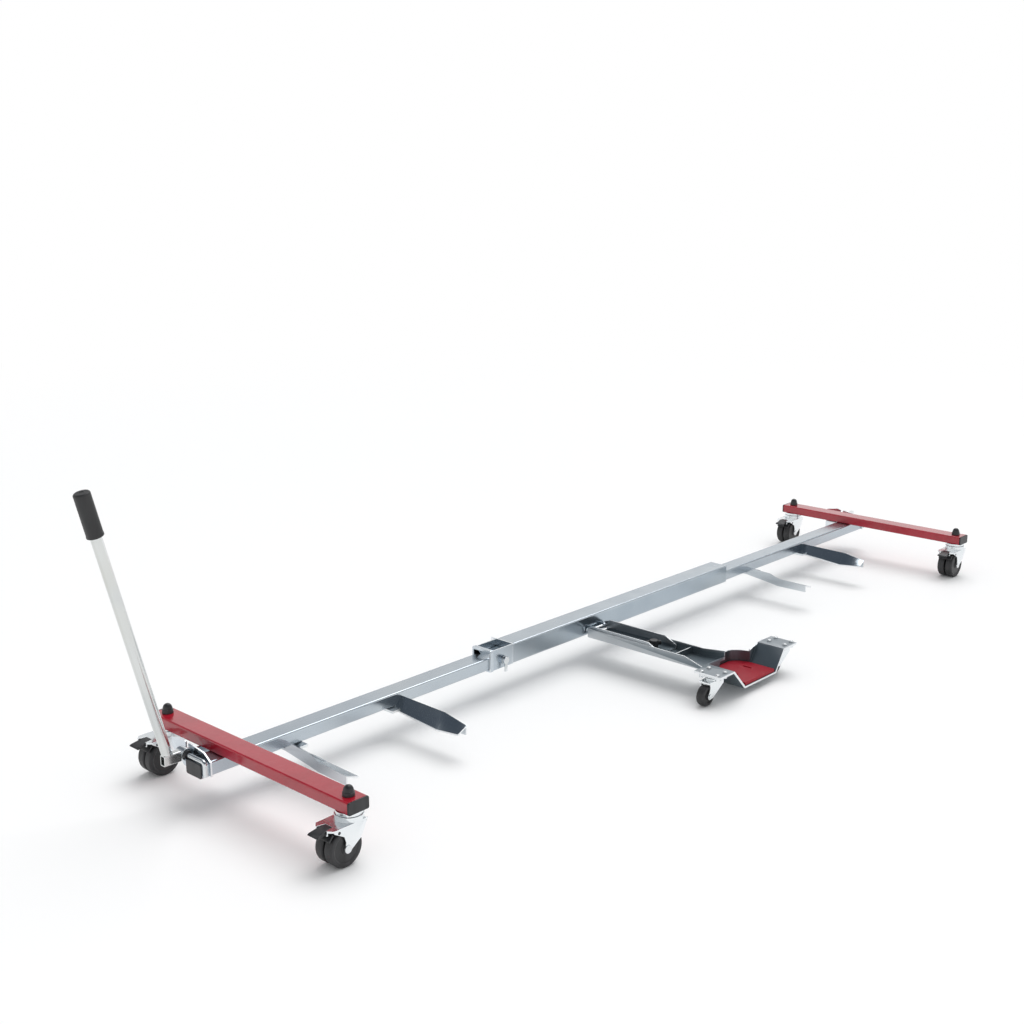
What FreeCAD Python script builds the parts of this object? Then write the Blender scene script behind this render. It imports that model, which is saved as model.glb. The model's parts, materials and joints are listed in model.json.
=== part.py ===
import FreeCAD, Part
import math
import os

os.makedirs("parts", exist_ok=True)

# A rolling dolly: a telescoping rail carried between two caster beams, four chocks reaching out from
# the rail, a lever that lowers and lifts the rail, and a side plate with its own small casters.
# While it is modelled, X = 0 is the front beam, +X is forward, +Y is the side-plate side and Z = 0
# is the floor. At the end everything is moved so that the origin lies under the middle of the dolly.

V = FreeCAD.Vector
ALONG_X = V(1, 0, 0)
ALONG_Y = V(0, 1, 0)
UP = V(0, 0, 1)

# Beams
beam_spacing = 2456.0
beam_length = 630.0
beam_width = 50.0
beam_height = 25.0
beam_wall = 3.0
beam_corner = 4.0
beam_bottom = 100.0
beam_top = beam_bottom + beam_height
cap_head = 4.0
cap_plug = 14.0
plug_gap = 0.2

# Main casters
caster_inset = 28.0
caster_y = beam_length / 2 - caster_inset
wheel_radius = 37.5
wheel_width = 21.0
wheel_offset = 12.5
wheel_edge = 4.0
caster_trail = 27.0
running_gap = 0.05
axle_radius = 6.0
axle_reach = 28.0
axle_head_radius = 8.0
leg_inner = 24.0
leg_outer = 26.5
leg_tip_radius = 8.0
crown_radius = 28.0
crown_bottom = 79.0
crown_top = 92.6
race_radius = 26.0
race_bottom = 93.0
stem_radius = 6.0
stem_top = 138.0
stem_hole_gap = 0.2
rivet_radius = 8.0
rivet_bottom = 75.5
rivet_gap = 0.3
nut_across_flats = 18.0
nut_height = 10.0
dome_radius = 12.0
dome_height = 20.5
dome_cavity_radius = 10.8
dome_cavity_height = 15.0
shoulder_rear = -20.0
shoulder_chamfer = 57.0
shoulder_front = 66.0
slot_rear = 48.0
slot_rear_half = 10.0
slot_front_half = 13.0
hook_half = 16.0
hook_sheet = 2.5
hook_drop = 10.0
shoulder_sheet = 4.0
leg_outline = ((-22.0, 83.0), (-5.0, 50.0), (22.0, 31.5), (34.0, 34.0), (31.0, 52.0), (35.0, 64.0),
               (50.0, 73.0), (shoulder_chamfer, 77.0), (shoulder_chamfer, 83.0))
pedal_pivot_x = 46.0
pedal_pivot_z = 75.5
pedal_pin_radius = 3.0
pedal_neck_half = 9.4
pedal_front_half = 14.5
pedal_front = 87.0
shoe_gap = 4.5
shoe_sheet = 4.0
shoe_half_width = 20.0
shoe_start = 38.0
shoe_end = 58.0
pedal_outline = ((42.5, 74.0), (42.5, 76.5), (48.6, 78.4), (48.6, 83.0), (60.0, 82.6), (84.0, 77.0),
                 (pedal_front, 74.0), (84.0, 71.5), (66.0, 73.0), (56.0, 72.6), (50.0, 72.6))

# Rails
rail_width = 50.0
rail_height = 30.0
rail_wall = 3.0
rail_corner = 4.0
rail_far = -113.0
rail_near = rail_far + rail_width
rail_top = beam_bottom
rail_bottom = rail_top - rail_height
rail_front = 74.0
rail_cap_head = 3.0
rail_insert = 265.0
slide_gap = 0.5
sleeve_wall = 3.0
sleeve_height = 50.0
sleeve_front = -816.0
sleeve_rear = -1720.0
sleeve_far = rail_far - slide_gap - sleeve_wall
sleeve_near = rail_near + slide_gap + sleeve_wall
sleeve_bottom = rail_bottom - sleeve_wall
sleeve_top = sleeve_bottom + sleeve_height
hold_down_gap = 0.6
rear_insert = 80.0

# Collar at the mouth of the sleeve
collar_front = -735.0
ring_length = 10.0
ring_proud = 2.0
strap_bottom = 112.0
end_plate = 3.0
end_plate_far = -131.0
tab_drop = 5.0
tab_length = 8.0
tab_inset = 12.0
screw_x = -778.0
screw_z = 88.0
screw_radius = 5.0
screw_boss_radius = 10.0
screw_boss_length = 7.0
screw_tip_gap = 0.3
screw_head_radius = 9.0
screw_head_length = 6.0
screw_head_gap = 1.0
handle_width = 8.0
handle_drop = 28.0
handle_round = 1.0

# Lift unit at each end of the rail
pivot_x = 70.0
pivot_z = 105.2
pivot_radius = 5.0
pivot_far = -146.0
pivot_bend = 8.0
pivot_drop = 76.0
pivot_near = rail_near + pivot_radius + 0.2
clip_radius = 9.0
clip_far = -145.0
clip_near = -140.0
boss_radius = 12.5
boss_near = -117.0
crank_far = -139.0
crank_near = -133.0
crank_radius = 36.5
crank_swing = 38.0
crank_end_radius = 9.0
pin_radius = 5.0
pin_end = -147.2
pin_play = 0.9
lug_far = -146.2
lug_near = -140.2
lug_rear = -20.0
lug_front = 52.6
lug_bottom = 42.0
lug_heel = 66.0
lug_toe = 26.0
slot_end_room = 1.2
guide_gap = 0.4
guide_bar = 5.6
guide_lip = 3.0
guide_lip_front = -12.0
guide_top = 99.0
bracket_rear = 53.0
bracket_front = 57.0
bracket_far = -190.0
bracket_base = 68.0
bracket_flange = 4.0
bracket_step = (-80.0, 115.0)
bracket_crest = (-151.0, 125.0)
bracket_wing = (100.0, 118.0)
bracket_heel = -150.0
notch_base = 78.0
notch_top = 121.5
notch_gap = 1.5
washer_radius = 9.0
washer_far = -116.5
washer_near = -113.5
washer_gap = 0.2
stub_end = 105.0
stub_half_width = 5.0
stub_half_height = 8.2

# Lever
lever_y = -125.0
socket_rear = 83.0
socket_front = 121.0
socket_half_width = 7.5
socket_half_height = 11.0
socket_wall = 2.0
socket_corner = socket_wall + 0.5
lever_radius = 11.0
lever_wall = 2.0
lever_tilt = 14.15
lever_foot_x = 110.0
lever_length = 557.0
grip_radius = 16.5
grip_length = 88.0
grip_closed = 9.0
grip_edge = 3.0
lever_root = 20.0

# Chocks
chock_pair_spacing = 1707.0
front_chock_x = -128.0
seat_length = 328.0
chock_sheet = 4.0
chock_start = rail_near
foot_far = -114.0
foot_near = -45.0
foot_length = 46.0
foot_sheet = 6.0
bolt_radius = 4.0
bolt_hole_gap = 0.2
bolt_head_flats = 13.0
bolt_head_height = 5.5
bolt_top = 79.0
chock_bolt_x = 24.0
chock_bolt_y = (-100.0, -76.0)
# Stations of the two chock forms: Y, how far the ridge stands out of line, ridge height, base height,
# run and drop of the upper leaf
leading_stations = (
    (chock_start, 0.0, 88.0, 64.0, 28.0, 20.0),
    (-17.0, 0.0, 84.0, 58.0, 28.0, 20.0),
    (14.0, 0.0, 83.0, 54.0, 28.0, 18.0),
    (42.0, 1.0, 73.0, 50.0, 26.0, 9.0),
    (138.0, 8.0, 73.0, 53.0, 32.0, 10.0),
)
trailing_stations = (
    (chock_start, 0.0, 89.0, 64.0, 28.0, 22.0),
    (72.0, 0.0, 87.0, 51.0, 28.0, 31.0),
    (138.0, 0.0, 75.0, 54.0, 28.0, 12.0),
)

# Side arm
arm_x = -1125.0
arm_half_width = 36.5
arm_wall = 3.0
arm_floor = 69.5
arm_top = 96.0
arm_end = 172.0
arm_end_top = 80.0
arm_taper_start = 138.0
arm_floor_start = -36.0
hinge_y = -49.0
hinge_z = 82.0
hinge_radius = 5.0
hinge_ear_radius = 9.0
hinge_lug_inner = 19.0
hinge_lug_outer = 25.0
hinge_lug_half = 8.0
knob_y = 129.0
knob_bottom = 73.0
knob_hub_radius = 11.0
knob_top = 91.0
wing_reach = 19.0
wing_thickness = 8.0
wing_bottom = 79.0
wing_round = 3.5
wing_turn = -45.0
clamp_radius = 5.0
clamp_head_radius = 11.0
clamp_head_bottom = 59.5
clamp_head_top = 65.5
clamp_bolt_top = 88.0

# Side plate
channel_half_width = 40.0
channel_wall = 3.0
channel_bottom = 66.0
channel_top = 89.0
channel_start = -50.0
channel_taper = 250.0
plate_travel = 120.0
clamp_slot_width = 11.0
lip_y = 214.0
lip_top = 84.0
plate_inner = 301.0
wing_width = 75.0
plate_outer = plate_inner + wing_width
inner_wall = 4.0
plate_sheet = 5.0
wing_top = 74.0
tray_top = 23.0
front_wing_front = -1054.0
front_wing_rear = -1113.0
tray_front = -1162.0
tray_rear = -1294.0
rear_wing_front = -1328.0
rear_wing_rear = -1389.0
bend_shift = 3.3
bay_inner = plate_inner - 43.0
bay_top = 58.0
bay_corner_x = -1262.0
bay_corner = ((0.0, 0.0), (-9.0, 3.5), (-18.0, 12.0), (-25.0, 22.0), (-29.0, 32.0))
flange_low = 62.0
flange_middle = (-1310.0, 66.0)
flange_high = 69.0
flange_rise = 24.0
flare_start = plate_inner - 50.0
channel_flare = 18.0
pad_height = 8.0
pad_margin = 2.0
pad_slot_inset = 36.0
pad_slot_length = 26.0
pad_slot_width = 6.0

# Small casters under the wings
small_front_inset = 21.0
small_rear_inset = 22.0
small_y = plate_inner + 40.0
small_front_x = front_wing_front - small_front_inset
small_rear_x = rear_wing_rear + small_rear_inset
small_centres = ((small_front_x, small_y), (small_rear_x, small_y))
small_names = ("front", "rear")
small_wheel_radius = 25.0
small_wheel_half = 11.0
small_trail = 30.0
small_axle_radius = 4.0
small_axle_reach = 16.0
small_leg_inner = 12.0
small_leg_outer = 14.5
small_plate_x = 42.0
small_plate_y = 58.0
small_plate_corner = 5.0
small_plate_sheet = 3.0
small_race_radius = 16.0
small_race_bottom = 63.0
small_crown_radius = 19.0
small_crown_bottom = 56.0
small_crown_top = 62.6
small_pin_radius = 5.0
small_rivet_radius = 7.0
small_rivet_bottom = 52.5
small_shoulder_rear = -24.0
small_shoulder_front = 36.0
small_shoulder_sheet = 3.0
small_tip_radius = 8.0
small_wheel_edge = 3.0
small_axle_head = 2.0
small_leg_outline = ((-24.0, 59.0), (-24.0, 46.0), (20.0, 18.0), (36.0, 19.0), (38.0, 27.0), (31.0, 40.0),
                     (28.0, 59.0))
wing_bolt_spacing_x = 30.0
wing_bolt_spacing_y = 45.0
wing_bolt_radius = 3.0
wing_bolt_head_radius = 5.5
wing_bolt_head_height = 4.0
wing_bolt_round = 2.5
wing_nut_flats = 10.0
wing_nut_height = 5.0

pieces = {}


def keep(name, *solids):
    """Remember the solids of one named piece until the origin is known."""
    pieces[name] = list(solids)


def box(x_span, y_span, z_span):
    """A block between the given low and high values."""
    size = [high - low for low, high in (x_span, y_span, z_span)]
    return Part.makeBox(*size, V(x_span[0], y_span[0], z_span[0]))


def rod(start, direction, radius, length):
    """A round bar from a start point."""
    return Part.makeCylinder(radius, length, V(*start), direction)


def rod_y(x, z, radius, y_low, y_high):
    """A round bar along Y."""
    return rod((x, y_low, z), ALONG_Y, radius, y_high - y_low)


def rod_z(x, y, radius, z_low, z_high):
    """A round bar along Z."""
    return rod((x, y, z_low), UP, radius, z_high - z_low)


def prism_along_y(outline, y_low, y_high):
    """An outline of (X, Z) points extruded along Y."""
    points = [V(x, y_low, z) for x, z in outline]
    face = Part.Face(Part.makePolygon(points + points[:1]))
    return face.extrude(V(0, y_high - y_low, 0))


def prism_along_x(outline, x_low, x_high):
    """An outline of (Y, Z) points extruded along X."""
    points = [V(x_low, y, z) for y, z in outline]
    face = Part.Face(Part.makePolygon(points + points[:1]))
    return face.extrude(V(x_high - x_low, 0, 0))


def prism_along_z(outline, z_low, z_high):
    """An outline of (X, Y) points extruded along Z."""
    points = [V(x, y, z_low) for x, y in outline]
    face = Part.Face(Part.makePolygon(points + points[:1]))
    return face.extrude(V(0, 0, z_high - z_low))


def soften(solid, direction, radius):
    """Round the straight edges of a block that run along one direction."""
    chosen = []
    for edge in solid.Edges:
        if abs(abs(edge.tangentAt(edge.FirstParameter).dot(direction)) - 1.0) < 1e-6:
            chosen.append(edge)
    return solid.makeFillet(radius, chosen)


def box_tube(x_span, y_span, z_span, direction, wall, corner):
    """A rectangular tube with rounded corners, open at both ends along the direction."""
    outer = soften(box(x_span, y_span, z_span), direction, corner)
    spans = []
    for span, share in zip((x_span, y_span, z_span), direction):
        inset = 0.0 if abs(share) > 0.5 else wall
        spans.append((span[0] + inset, span[1] - inset))
    inner = soften(box(*spans), direction, corner - wall)
    return outer.cut(inner)


def hexagon(x, y, across_flats, z_low, z_high):
    """A hexagonal bar along Z."""
    reach = across_flats / 2 / math.cos(math.pi / 6)
    turns = [k * math.pi / 3 for k in range(6)]
    corners = [(x + reach * math.cos(turn), y + reach * math.sin(turn)) for turn in turns]
    return prism_along_z(corners, z_low, z_high)


def at_rear(solid):
    """The mirrored copy of a front-end piece for the rear end of the dolly."""
    return solid.mirror(V(-beam_spacing / 2, 0, 0), ALONG_X)


# Beams, their caps, stems and lift lugs
def beam():
    half = beam_length / 2 - cap_head
    span_x = (-beam_width / 2, beam_width / 2)
    tube = box_tube(span_x, (-half, half), (beam_bottom, beam_top), ALONG_Y, beam_wall, beam_corner)
    for side in (-1, 1):
        hole = rod_z(0, side * caster_y, stem_radius + stem_hole_gap, beam_bottom - 1, beam_top + 1)
        tube = tube.cut(hole)
    return tube


def beam_end_cap(side):
    outer = beam_length / 2
    head = box((-beam_width / 2, beam_width / 2), (outer - cap_head, outer), (beam_bottom, beam_top))
    head = soften(head, ALONG_Y, beam_corner)
    inset = beam_wall + plug_gap
    plug_x = beam_width / 2 - inset
    plug_z = (beam_bottom + inset, beam_top - inset)
    plug = box((-plug_x, plug_x), (outer - cap_head - cap_plug, outer - cap_head), plug_z)
    plug = soften(plug, ALONG_Y, beam_corner - beam_wall)
    cap = head.fuse(plug).removeSplitter()
    return cap if side > 0 else cap.mirror(V(0, 0, 0), ALONG_Y)


def caster_stem(y):
    race = rod_z(0, y, race_radius, race_bottom, beam_bottom)
    pin = rod_z(0, y, stem_radius, rivet_bottom, stem_top)
    rivet = rod_z(0, y, rivet_radius, rivet_bottom, crown_bottom - rivet_gap)
    return race.fuse([pin, rivet]).removeSplitter()


def stem_nut(y):
    nut = hexagon(0, y, nut_across_flats, beam_top, beam_top + nut_height)
    return nut.cut(rod_z(0, y, stem_radius + running_gap, beam_top - 1, beam_top + nut_height + 1))


def dome_cap(y):
    shoulder = beam_top + dome_height - dome_radius
    skirt = rod_z(0, y, dome_radius, beam_top, shoulder)
    dome = Part.makeSphere(dome_radius, V(0, y, shoulder))
    above_y = (y - dome_radius, y + dome_radius)
    above = box((-dome_radius, dome_radius), above_y, (shoulder, beam_top + dome_height))
    cavity_top = beam_top + dome_cavity_height - dome_cavity_radius / 2
    cavity = rod_z(0, y, dome_cavity_radius, beam_top - 1, cavity_top)
    hollow = Part.makeSphere(dome_cavity_radius, V(0, y, shoulder - 1))
    return skirt.fuse(dome.common(above)).cut(cavity.fuse(hollow)).removeSplitter()


def crank_pin_place():
    swing = math.radians(crank_swing)
    return pivot_x - crank_radius * math.cos(swing), pivot_z - crank_radius * math.sin(swing)


def lift_lug():
    outline = [(lug_rear, beam_bottom), (lug_front, beam_bottom), (lug_front, lug_heel)]
    outline += [(lug_toe, lug_bottom), (lug_rear, lug_bottom)]
    plate = prism_along_y(outline, lug_far, lug_near)
    pin_x, pin_z = crank_pin_place()
    room = pin_radius + slot_end_room
    slot_x = (pivot_x - crank_radius - room, pin_x + room)
    slot_z = (pin_z - pin_radius - pin_play, pin_z + pin_radius + pin_play)
    return plate.cut(box(slot_x, (lug_far - 1, lug_near + 1), slot_z))


def make_beams():
    sides = (-1, 1)
    fitted = {
        "beam": [beam()],
        "beam_end_caps": [beam_end_cap(side) for side in sides],
        "stems_and_nuts": [make(side * caster_y) for make in (caster_stem, stem_nut) for side in sides],
        "dome_caps": [dome_cap(side * caster_y) for side in sides],
        "lift_lug": [lift_lug()],
    }
    for name, solids in fitted.items():
        keep("front_" + name, *solids)
        keep("rear_" + name, *[at_rear(solid) for solid in solids])


# Main casters
def fork_plate():
    """Top plate of the fork: slotted for the pedal, with a bent-down hook on each side of the slot."""
    outline = [(shoulder_rear, leg_outer), (shoulder_chamfer, leg_outer), (shoulder_front, hook_half)]
    outline += [(shoulder_front, slot_front_half), (slot_rear, slot_rear_half)]
    outline += [(x, -y) for x, y in reversed(outline)]
    plate = prism_along_z(outline, crown_bottom, crown_bottom + shoulder_sheet)
    for side in (-1, 1):
        across = sorted((side * slot_front_half, side * hook_half))
        hook_z = (crown_bottom + shoulder_sheet - hook_drop, crown_bottom + shoulder_sheet)
        plate = plate.fuse(box((shoulder_front - hook_sheet, shoulder_front), across, hook_z))
    return plate


def caster_fork():
    crown = rod_z(0, 0, crown_radius, crown_bottom, crown_top)
    fork = crown.fuse(fork_plate())
    for side in (-1, 1):
        low, high = sorted((side * leg_inner, side * leg_outer))
        leg = prism_along_y(leg_outline, low, high)
        fork = fork.fuse([leg, rod_y(caster_trail, wheel_radius, leg_tip_radius, low, high)])
    fork = fork.cut(rod_z(0, 0, stem_radius + running_gap, 0, beam_bottom))
    fork = fork.cut(rod_y(caster_trail, wheel_radius, axle_radius, -leg_outer, leg_outer))
    pedal_hole = pedal_pin_radius + running_gap
    return fork.cut(rod_y(pedal_pivot_x, pedal_pivot_z, pedal_hole, -leg_outer, leg_outer)).removeSplitter()


def caster_axle():
    bar = rod_y(caster_trail, wheel_radius, axle_radius, -axle_reach, axle_reach)
    heads = []
    for low, high in ((-axle_reach, -leg_outer), (leg_outer, axle_reach)):
        heads.append(rod_y(caster_trail, wheel_radius, axle_head_radius, low, high))
    return bar.fuse(heads).removeSplitter()


def caster_wheel(side):
    low = side * wheel_offset - wheel_width / 2
    wheel = rod_y(caster_trail, wheel_radius, wheel_radius, low, low + wheel_width)
    rims = [edge for edge in wheel.Edges if isinstance(edge.Curve, Part.Circle)]
    wheel = wheel.makeFillet(wheel_edge, rims)
    bore = rod_y(caster_trail, wheel_radius, axle_radius + running_gap, low - 1, low + wheel_width + 1)
    return wheel.cut(bore)


def brake_shoe():
    """The bent strip under the pedal that meets the treads when the pedal is pressed."""
    inner = wheel_radius + shoe_gap
    outer = inner + shoe_sheet
    strip = rod_y(caster_trail, wheel_radius, outer, -shoe_half_width, shoe_half_width)
    strip = strip.cut(rod_y(caster_trail, wheel_radius, inner, -shoe_half_width, shoe_half_width))
    wedge = [(caster_trail, wheel_radius)]
    for angle in (shoe_start, shoe_end):
        turn = math.radians(angle)
        wedge.append((caster_trail + 2 * outer * math.sin(turn), wheel_radius + 2 * outer * math.cos(turn)))
    return strip.common(prism_along_y(wedge, -shoe_half_width, shoe_half_width))


def brake_pedal():
    """A pedal that rises through the slot and widens towards its front."""
    body = prism_along_y(pedal_outline, -pedal_front_half, pedal_front_half)
    neck = pedal_pivot_x - pedal_neck_half
    taper = [(neck, pedal_neck_half), (slot_rear, pedal_neck_half), (pedal_front, pedal_front_half)]
    taper += [(x, -y) for x, y in reversed(taper)]
    body = body.common(prism_along_z(taper, 0, beam_bottom))
    trunnion = rod_y(pedal_pivot_x, pedal_pivot_z, pedal_pin_radius, -leg_outer, leg_outer)
    return body.fuse([trunnion, brake_shoe()]).removeSplitter()


def make_main_casters():
    caster = {
        "fork": [caster_fork()],
        "axle": [caster_axle()],
        "wheels": [caster_wheel(-1), caster_wheel(1)],
        "brake_pedal": [brake_pedal()],
    }
    for end, x in (("front", 0.0), ("rear", -beam_spacing)):
        for side, y in (("left", caster_y), ("right", -caster_y)):
            for name, solids in caster.items():
                keep(f"{end}_{side}_{name}", *[solid.translated(V(x, y, 0)) for solid in solids])


# Rails, collar and clamp screw
def rail(x_rear, x_front):
    spans = ((x_rear, x_front), (rail_far, rail_near), (rail_bottom, rail_top))
    return box_tube(*spans, ALONG_X, rail_wall, rail_corner)


def rail_cap():
    head = box((rail_front, rail_front + rail_cap_head), (rail_far, rail_near), (rail_bottom, rail_top))
    inset = rail_wall + plug_gap
    plug_y = (rail_far + inset, rail_near - inset)
    plug_z = (rail_bottom + inset, rail_top - inset)
    plug = box((rail_front - cap_plug, rail_front), plug_y, plug_z)
    plug = soften(plug, ALONG_X, rail_corner - rail_wall)
    return soften(head, ALONG_X, rail_corner).fuse(plug).removeSplitter()


def drill_for_chock(tube, chock_x, inward):
    hole_x = chock_x + inward * chock_bolt_x
    for y in chock_bolt_y:
        hole = rod_z(hole_x, y, bolt_radius + bolt_hole_gap, rail_bottom - 1, bolt_top)
        tube = tube.cut(hole)
    return tube


def sleeve():
    spans = ((sleeve_rear, sleeve_front), (sleeve_far, sleeve_near), (sleeve_bottom, sleeve_top))
    tube = box_tube(*spans, ALONG_X, sleeve_wall, rail_corner)
    inside = (sleeve_far + sleeve_wall, sleeve_near - sleeve_wall)
    closing_z = (rail_top + hold_down_gap, sleeve_top - 1)
    tube = tube.fuse(box((sleeve_rear, sleeve_rear + end_plate), inside, closing_z))
    for side in (-1, 1):
        low, high = sorted((arm_x + side * hinge_lug_inner, arm_x + side * hinge_lug_outer))
        lug_z = (hinge_z - hinge_lug_half, hinge_z + hinge_lug_half)
        lug = box((low, high), (sleeve_near - sleeve_wall / 2, hinge_y), lug_z)
        lug = lug.fuse(rod((low, hinge_y, hinge_z), ALONG_X, hinge_lug_half, high - low))
        tube = tube.fuse(lug)
    bore = rod((arm_x - arm_half_width, hinge_y, hinge_z), ALONG_X, hinge_radius, 2 * arm_half_width)
    return tube.cut(bore).removeSplitter()


def collar():
    inside = (sleeve_far + sleeve_wall, sleeve_near - sleeve_wall)
    floor = box((sleeve_front, collar_front), (sleeve_far, sleeve_near), (sleeve_bottom, rail_bottom))
    near = box((sleeve_front, collar_front), (inside[1], sleeve_near), (sleeve_bottom, sleeve_top))
    far = box((sleeve_front, collar_front), (sleeve_far, inside[0]), (sleeve_bottom, sleeve_top))
    ring_y = (sleeve_far - ring_proud, sleeve_near + ring_proud)
    ring_z = (sleeve_bottom - ring_proud, sleeve_top + ring_proud)
    ring = soften(box((collar_front - ring_length, collar_front), ring_y, ring_z), ALONG_X, rail_corner)
    ring = ring.cut(box((collar_front - ring_length, collar_front), inside, (rail_bottom, strap_bottom)))
    stop_z = (rail_top + hold_down_gap, sleeve_top + 1)
    stop = box((sleeve_front, sleeve_front + end_plate), (end_plate_far, sleeve_near), stop_z)
    tab_y = (rail_far + tab_inset, rail_near - tab_inset)
    tab_z = (sleeve_bottom - tab_drop, sleeve_bottom)
    tabs = [box((x, x + tab_length), tab_y, tab_z) for x in (collar_front - 2 * ring_length, sleeve_front)]
    boss = rod_y(screw_x, screw_z, screw_boss_radius, inside[1], sleeve_near + screw_boss_length)
    whole = floor.fuse([near, far, ring, stop, boss] + tabs)
    boss_end = sleeve_near + screw_boss_length
    hole = rod_y(screw_x, screw_z, screw_radius + running_gap, inside[1] - 1, boss_end + 1)
    return whole.cut(hole).removeSplitter()


def clamp_screw():
    head_start = sleeve_near + screw_boss_length + screw_head_gap
    head_end = head_start + screw_head_length
    shank = rod_y(screw_x, screw_z, screw_radius, rail_near + screw_tip_gap, head_end)
    head = rod_y(screw_x, screw_z, screw_head_radius, head_start, head_end)
    handle_x = (screw_x - handle_width / 2, screw_x + handle_width / 2)
    handle = box(handle_x, (head_start + 1, head_end - 1), (screw_z - handle_drop, screw_z))
    return shank.fuse([head, soften(handle, ALONG_Y, handle_round)]).removeSplitter()


def make_rails():
    first = front_chock_x
    second = front_chock_x - seat_length
    front = rail(sleeve_front - rail_insert + end_plate, rail_front)
    front = drill_for_chock(drill_for_chock(front, first, -1), second, 1)
    rear_end = -beam_spacing - rail_front
    rear = rail(rear_end, sleeve_rear + rear_insert)
    rear = drill_for_chock(rear, first - chock_pair_spacing, -1)
    rear = drill_for_chock(rear, second - chock_pair_spacing, 1)
    keep("front_rail", front)
    keep("rear_rail", rear)
    keep("front_rail_cap", rail_cap())
    keep("rear_rail_cap", at_rear(rail_cap()))
    keep("centre_rail", sleeve())
    keep("rail_collar", collar())
    keep("clamp_screw", clamp_screw())


# Lift units: bracket with guide bar, pivot rod, crank
def bracket():
    near = rail_near + bracket_flange
    notch = (crank_near + notch_gap, crank_far - notch_gap)
    outline = [(rail_near, rail_bottom), (near, rail_bottom), (near, rail_top), bracket_step]
    outline += [(notch[0], notch_top), (notch[0], notch_base), (notch[1], notch_base), (notch[1], notch_top)]
    outline += [bracket_crest, (bracket_far, bracket_wing[1]), (bracket_far, bracket_wing[0])]
    outline += [(bracket_heel, bracket_base), (rail_far, bracket_base), (rail_far, rail_top)]
    return prism_along_x(outline + [(rail_near, rail_top)], bracket_rear, bracket_front)


def guide_bars():
    bar_x = (lug_rear - guide_gap - guide_bar, lug_rear - guide_gap)
    bar = box(bar_x, (lug_far - guide_gap, rail_far), (rail_bottom, guide_top))
    lip_y_span = (lug_far - guide_gap - guide_lip, lug_far - guide_gap)
    return bar.fuse(box((bar_x[0], guide_lip_front), lip_y_span, (rail_bottom, guide_top))).removeSplitter()


def pivot_rod():
    bend_y = pivot_near - pivot_bend
    bend_z = pivot_z - pivot_bend
    across = rod_y(pivot_x, pivot_z, pivot_radius, pivot_far, bend_y)
    elbow = Part.makeTorus(pivot_bend, pivot_radius, V(pivot_x, bend_y, bend_z), ALONG_X)
    reach = pivot_bend + pivot_radius
    quarter = box((pivot_x - reach, pivot_x + reach), (bend_y, bend_y + reach), (bend_z, bend_z + reach))
    down = rod_z(pivot_x, pivot_near, pivot_radius, pivot_drop, bend_z)
    clip = rod_y(pivot_x, pivot_z, clip_radius, clip_far, clip_near)
    return across.fuse([elbow.common(quarter), down, clip]).removeSplitter()


def crank():
    pin_x, pin_z = crank_pin_place()
    boss = rod_y(pivot_x, pivot_z, boss_radius, crank_far, boss_near)
    end = rod_y(pin_x, pin_z, crank_end_radius, crank_far, crank_near)
    pin = rod_y(pin_x, pin_z, pin_radius, pin_end, crank_far)
    swing = math.radians(crank_swing)
    side_x, side_z = -math.sin(swing), math.cos(swing)
    outline = []
    for x, z, reach in ((pivot_x, pivot_z, crank_end_radius), (pin_x, pin_z, -crank_end_radius)):
        for turn in (1, -1):
            outline.append((x + turn * reach * side_x, z + turn * reach * side_z))
    arm = prism_along_y(outline, crank_far, crank_near)
    stub_y = (lever_y - stub_half_width, lever_y + stub_half_width)
    stub = box((pivot_x, stub_end), stub_y, (pivot_z - stub_half_height, pivot_z + stub_half_height))
    whole = boss.fuse([end, pin, arm, stub])
    bore = rod_y(pivot_x, pivot_z, pivot_radius + running_gap, pivot_far, boss_near)
    return whole.cut(bore).removeSplitter()


def washer():
    ring = rod_y(pivot_x, pivot_z, washer_radius, washer_far, washer_near)
    return ring.cut(rod_y(pivot_x, pivot_z, pivot_radius + washer_gap, washer_far - 1, washer_near + 1))


def make_lift_units():
    units = {
        "bracket": [bracket(), guide_bars()],
        "pivot_rod": [pivot_rod()],
        "crank": [crank()],
    }
    for name, solids in units.items():
        keep("front_" + name, *solids)
        keep("rear_" + name, *[at_rear(solid) for solid in solids])
    keep("lever_washer", washer())


# Lever and grip
def lever_direction():
    tilt = math.radians(lever_tilt)
    return V(math.sin(tilt), 0, math.cos(tilt))


def lever():
    top = pivot_z + socket_half_height
    socket_y = (lever_y - socket_half_width, lever_y + socket_half_width)
    span_z = (pivot_z - socket_half_height, top)
    socket = box_tube((socket_rear, socket_front), socket_y, span_z, ALONG_X, socket_wall, socket_corner)
    along = lever_direction()
    foot = V(lever_foot_x, lever_y, top)
    start = foot - along * lever_root
    bar = Part.makeCylinder(lever_radius, lever_length + lever_root, start, along)
    bore = Part.makeCylinder(lever_radius - lever_wall, lever_length + lever_root + 1, start, along)
    below_x = (socket_rear - lever_root, socket_front + lever_root)
    below = box(below_x, (lever_y - lever_root, lever_y + lever_root), (top - 3 * lever_root, top))
    return socket.fuse(bar.cut(bore).cut(below)).removeSplitter()


def grip():
    along = lever_direction()
    tip = V(lever_foot_x, lever_y, pivot_z + socket_half_height) + along * lever_length
    start = tip - along * (grip_length - grip_closed)
    sleeve_body = Part.makeCylinder(grip_radius, grip_length, start, along)
    rims = [edge for edge in sleeve_body.Edges if isinstance(edge.Curve, Part.Circle)]
    sleeve_body = sleeve_body.makeFillet(grip_edge, rims)
    depth = grip_length - grip_closed
    return sleeve_body.cut(Part.makeCylinder(lever_radius + running_gap, depth + 1, start - along, along))


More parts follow.
